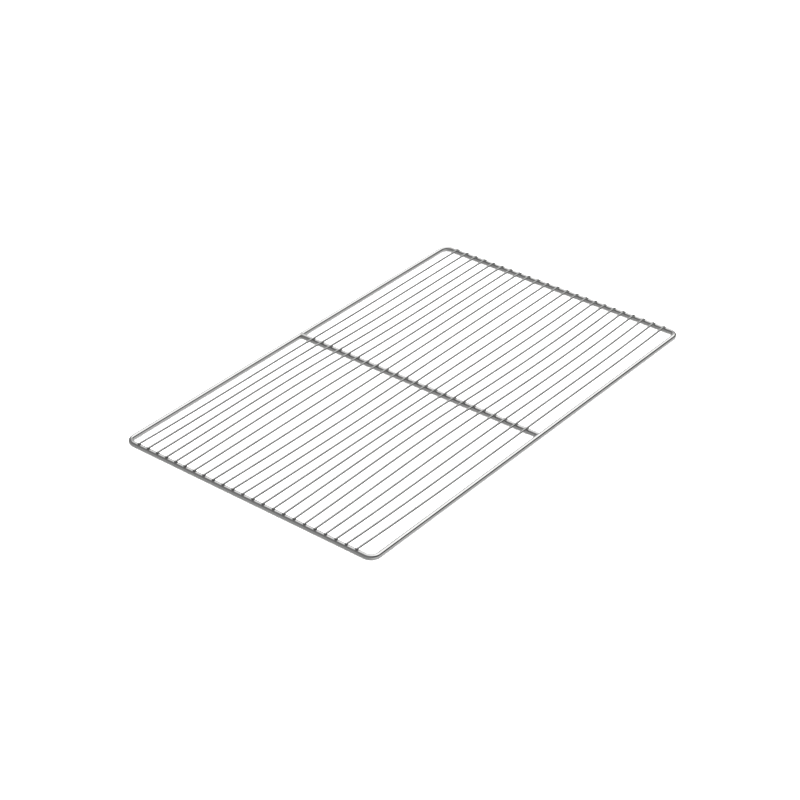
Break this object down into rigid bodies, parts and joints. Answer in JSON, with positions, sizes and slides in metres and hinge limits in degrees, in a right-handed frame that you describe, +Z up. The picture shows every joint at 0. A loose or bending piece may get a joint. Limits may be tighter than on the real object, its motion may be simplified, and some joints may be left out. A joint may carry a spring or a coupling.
{
  "type": "cooling rack",
  "caption": "Flat rectangular wire cooling rack: a bent round-wire frame with rounded corners, a cross bar level with it, and thin lengthwise wires welded on top.",
  "frame": {"origin": "middle of the rack on the surface that it stands on", "axes": "+X lengthwise towards the back end, +Y towards the left long side, +Z up"},
  "size_m": [0.53, 0.325, 0.0075],
  "materials": {
    "frame_wire": "electropolished stainless steel round wire, bright, with faint drawing lines",
    "grid_wire": "electropolished stainless steel thin wire, bright, slightly greyer than the frame"
  },
  "bodies": {
    "root": {"frame": "frame_wire", "cross_bar": "frame_wire", "wire_01": "grid_wire", "wire_02": "grid_wire", "wire_03": "grid_wire", "wire_04": "grid_wire", "wire_05": "grid_wire", "wire_06": "grid_wire", "wire_07": "grid_wire", "wire_08": "grid_wire", "wire_09": "grid_wire", "wire_10": "grid_wire", "wire_11": "grid_wire", "wire_12": "grid_wire", "wire_13": "grid_wire", "wire_14": "grid_wire", "wire_15": "grid_wire", "wire_16": "grid_wire", "wire_17": "grid_wire", "wire_18": "grid_wire", "wire_19": "grid_wire", "wire_20": "grid_wire", "wire_21": "grid_wire", "wire_22": "grid_wire", "wire_23": "grid_wire"}
  },
  "joints": []
}
